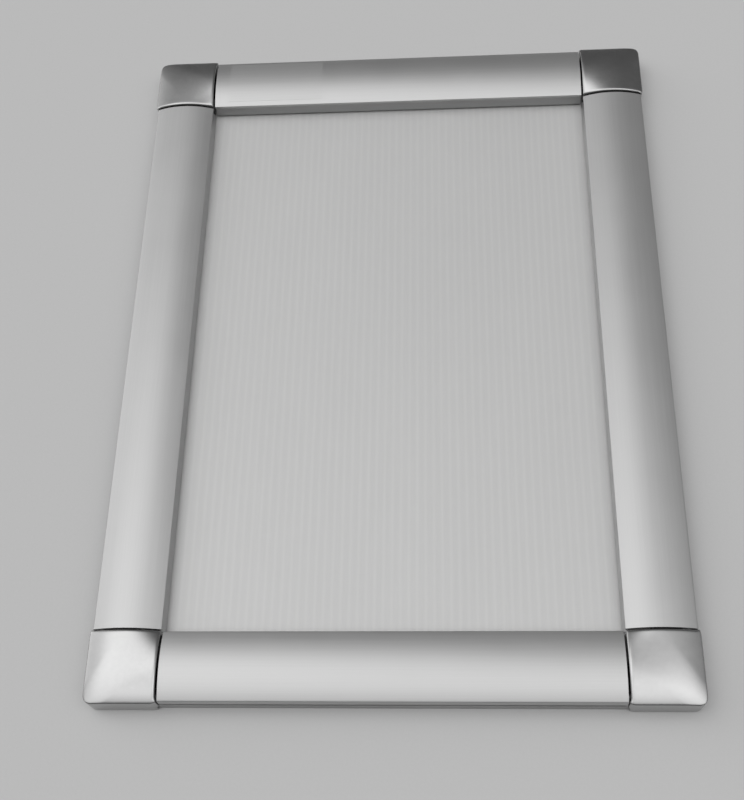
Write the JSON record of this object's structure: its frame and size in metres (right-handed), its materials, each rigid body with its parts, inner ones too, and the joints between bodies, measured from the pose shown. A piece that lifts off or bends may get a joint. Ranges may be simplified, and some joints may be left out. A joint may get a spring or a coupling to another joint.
{
  "type": "snap frame",
  "caption": "Wall snap frame for one printed sheet: curved aluminium rails that hinge open at the front, rounded corner caps, fluted back panel and clear cover sheet.",
  "frame": {"origin": "centre of the back of the frame, on the surface that it lies on", "axes": "+X to the right and +Y to the top of the frame as seen from the front, +Z out of the front"},
  "size_m": [0.25, 0.337, 0.0145],
  "materials": {
    "anodised_aluminium": "satin silver anodised, fine lines along the extrusion",
    "mill_aluminium": "mill finish",
    "plated_plastic": "satin chrome plating on moulded plastic",
    "bracket_plastic": "moulded, fine texture",
    "spring_steel": "tempered strip",
    "zinc_steel": "zinc plated",
    "fluted_plastic": "translucent twin-wall sheet",
    "clear_plastic": "clear plastic with a faint gloss"
  },
  "bodies": {
    "frame": {"base_rail_bottom": "mill_aluminium", "base_rail_right": "mill_aluminium", "base_rail_top": "mill_aluminium", "base_rail_left": "mill_aluminium", "leaf_spring_bottom_1": "spring_steel", "leaf_spring_bottom_2": "spring_steel", "leaf_spring_right_1": "spring_steel", "leaf_spring_right_2": "spring_steel", "leaf_spring_top_1": "spring_steel", "leaf_spring_top_2": "spring_steel", "leaf_spring_left_1": "spring_steel", "leaf_spring_left_2": "spring_steel", "corner_cap_bottom_left": "plated_plastic", "corner_cap_bottom_right": "plated_plastic", "corner_cap_top_right": "plated_plastic", "corner_cap_top_left": "plated_plastic", "corner_bracket_bottom_left": "bracket_plastic", "corner_bracket_bottom_right": "bracket_plastic", "corner_bracket_top_right": "bracket_plastic", "corner_bracket_top_left": "bracket_plastic", "cap_screw_bottom_left": "zinc_steel", "cap_screw_bottom_right": "zinc_steel", "cap_screw_top_right": "zinc_steel", "cap_screw_top_left": "zinc_steel", "bracket_screw_bottom_left_1": "zinc_steel", "bracket_screw_bottom_left_2": "zinc_steel", "bracket_screw_bottom_right_1": "zinc_steel", "bracket_screw_bottom_right_2": "zinc_steel", "bracket_screw_top_right_1": "zinc_steel", "bracket_screw_top_right_2": "zinc_steel", "bracket_screw_top_left_1": "zinc_steel", "bracket_screw_top_left_2": "zinc_steel", "back_panel": "fluted_plastic", "cover_sheet": "clear_plastic"},
    "bottom_cover": {"snap_cover_bottom": "anodised_aluminium"},
    "right_cover": {"snap_cover_right": "anodised_aluminium"},
    "top_cover": {"snap_cover_top": "anodised_aluminium"},
    "left_cover": {"snap_cover_left": "anodised_aluminium"}
  },
  "joints": [
    {"name": "bottom_cover_hinge", "type": "hinge", "parent": "frame", "child": "bottom_cover", "pos_m": [0, -0.1644, 0.0076], "axis": [1, 0, 0], "range_deg": [0, 90]},
    {"name": "right_cover_hinge", "type": "hinge", "parent": "frame", "child": "right_cover", "pos_m": [0.1209, 0, 0.0076], "axis": [0, 1, 0], "range_deg": [0, 90]},
    {"name": "top_cover_hinge", "type": "hinge", "parent": "frame", "child": "top_cover", "pos_m": [0, 0.1644, 0.0076], "axis": [-1, 0, 0], "range_deg": [0, 90]},
    {"name": "left_cover_hinge", "type": "hinge", "parent": "frame", "child": "left_cover", "pos_m": [-0.1209, 0, 0.0076], "axis": [0, -1, 0], "range_deg": [0, 90]}
  ]
}
